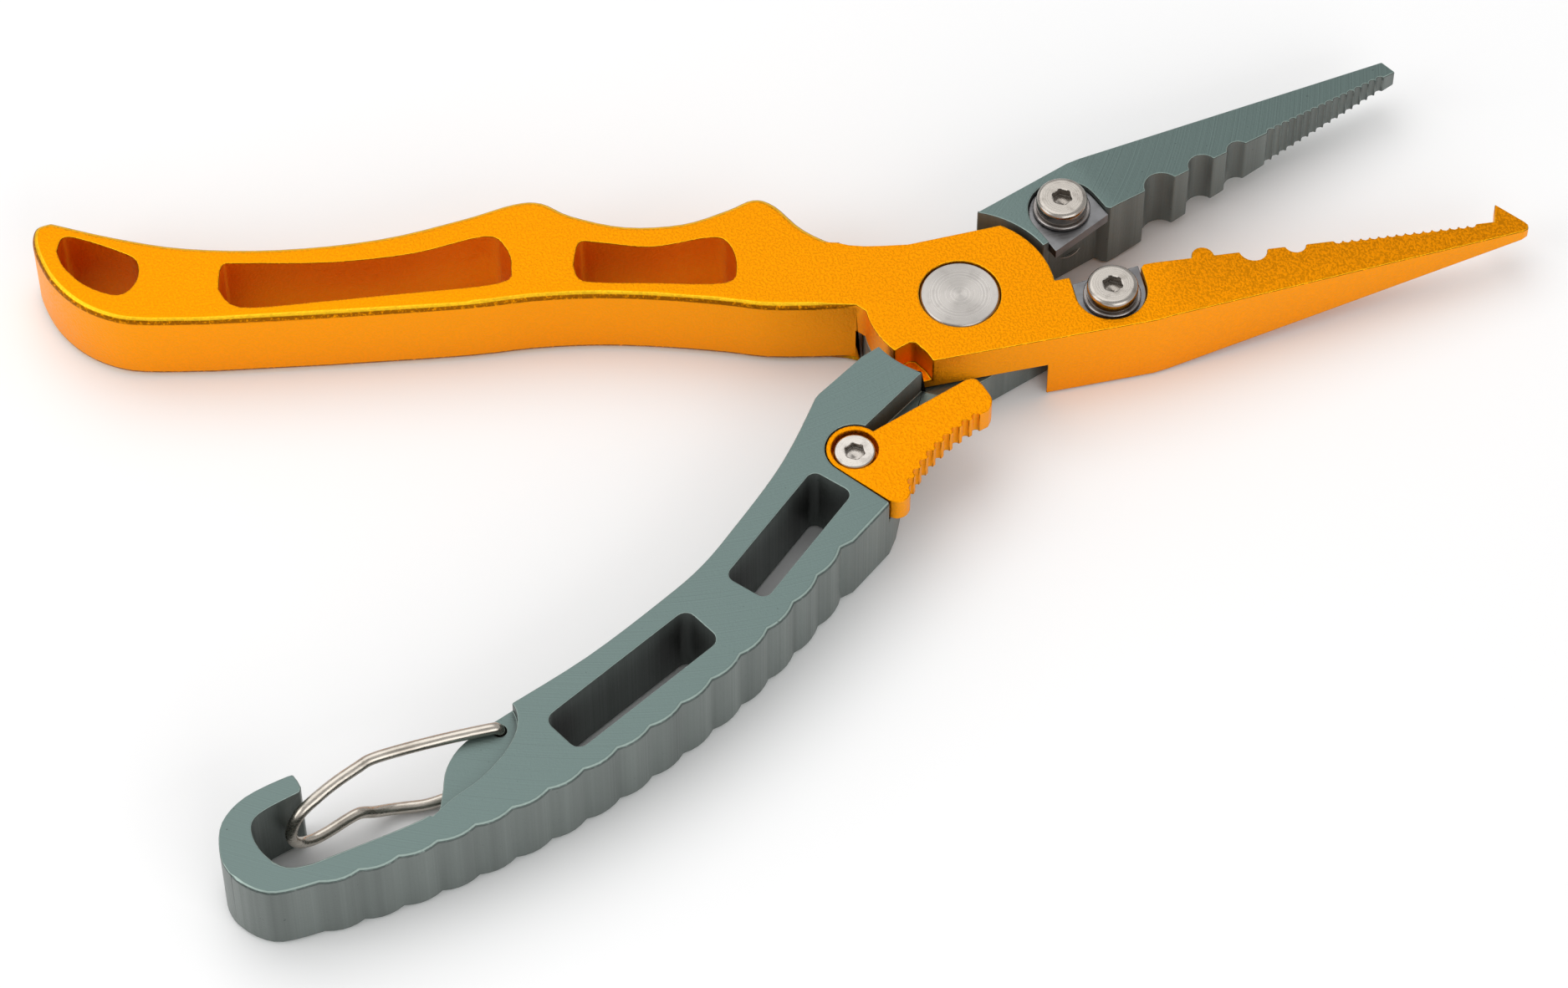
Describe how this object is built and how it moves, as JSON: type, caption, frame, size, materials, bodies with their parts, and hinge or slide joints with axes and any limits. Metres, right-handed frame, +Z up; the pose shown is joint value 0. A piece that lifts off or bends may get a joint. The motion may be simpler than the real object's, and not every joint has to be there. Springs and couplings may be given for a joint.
{
  "type": "fishing pliers",
  "caption": "Flat aluminium fishing pliers with slotted handles, screwed-on line cutters, toothed tapering jaws, a thumb lock lever and a sprung wire gate across a handle-end hook.",
  "frame": {"origin": "on the pivot axis, at the flat underside of the pivot screw and of both arms", "axes": "+Z up along the pivot axis, +X along the grip edge of the fixed jaw towards its tip, +Y towards the moving jaw"},
  "size_m": [0.1638, 0.0914, 0.0117],
  "materials": {
    "orange_anodised": "bead-blasted orange anodising",
    "green_grey_anodised": "satin green-grey anodising over milling marks",
    "brushed_steel": "turned, satin",
    "dark_tool_steel": "dark, ground",
    "spring_steel": "drawn wire, bright",
    "bearing_bronze": "turned"
  },
  "bodies": {
    "fixed_arm": {"orange_arm": "orange_anodised", "pivot_post": "brushed_steel", "pivot_screw": "brushed_steel", "pivot_thrust_washer": "bearing_bronze", "return_spring": "spring_steel", "open_stop_pin": "brushed_steel", "lower_cutter": "dark_tool_steel", "lower_cutter_washer": "dark_tool_steel", "lower_cutter_screw": "brushed_steel"},
    "moving_arm": {"grey_arm": "green_grey_anodised", "upper_cutter": "dark_tool_steel", "upper_cutter_washer": "dark_tool_steel", "upper_cutter_screw": "brushed_steel", "lock_screw": "brushed_steel", "lock_bush": "bearing_bronze", "lock_spring_washer": "spring_steel", "lock_detent_ball": "brushed_steel", "lock_detent_spring": "spring_steel"},
    "lock_lever_body": {"lock_lever": "orange_anodised"},
    "gate": {"hook_gate": "spring_steel"}
  },
  "joints": [
    {"name": "arm_pivot", "type": "hinge", "parent": "fixed_arm", "child": "moving_arm", "pos_m": [0, 0, 0.005], "axis": [0, 0, 1], "range_deg": [-21.9, 0], "stiffness_Nm_per_rad": 0.25, "springref_deg": 22.92},
    {"name": "lock_lever_pivot", "type": "hinge", "parent": "moving_arm", "child": "lock_lever_body", "pos_m": [-0.01602, -0.01786, 0.0083], "axis": [0, 0, 1], "range_deg": [0, 12]},
    {"name": "gate_hinge", "type": "hinge", "parent": "moving_arm", "child": "gate", "pos_m": [-0.06025, -0.04405, 0.005], "axis": [0, 0, 1], "range_deg": [0, 14], "stiffness_Nm_per_rad": 0.05, "springref_deg": -2.86}
  ]
}
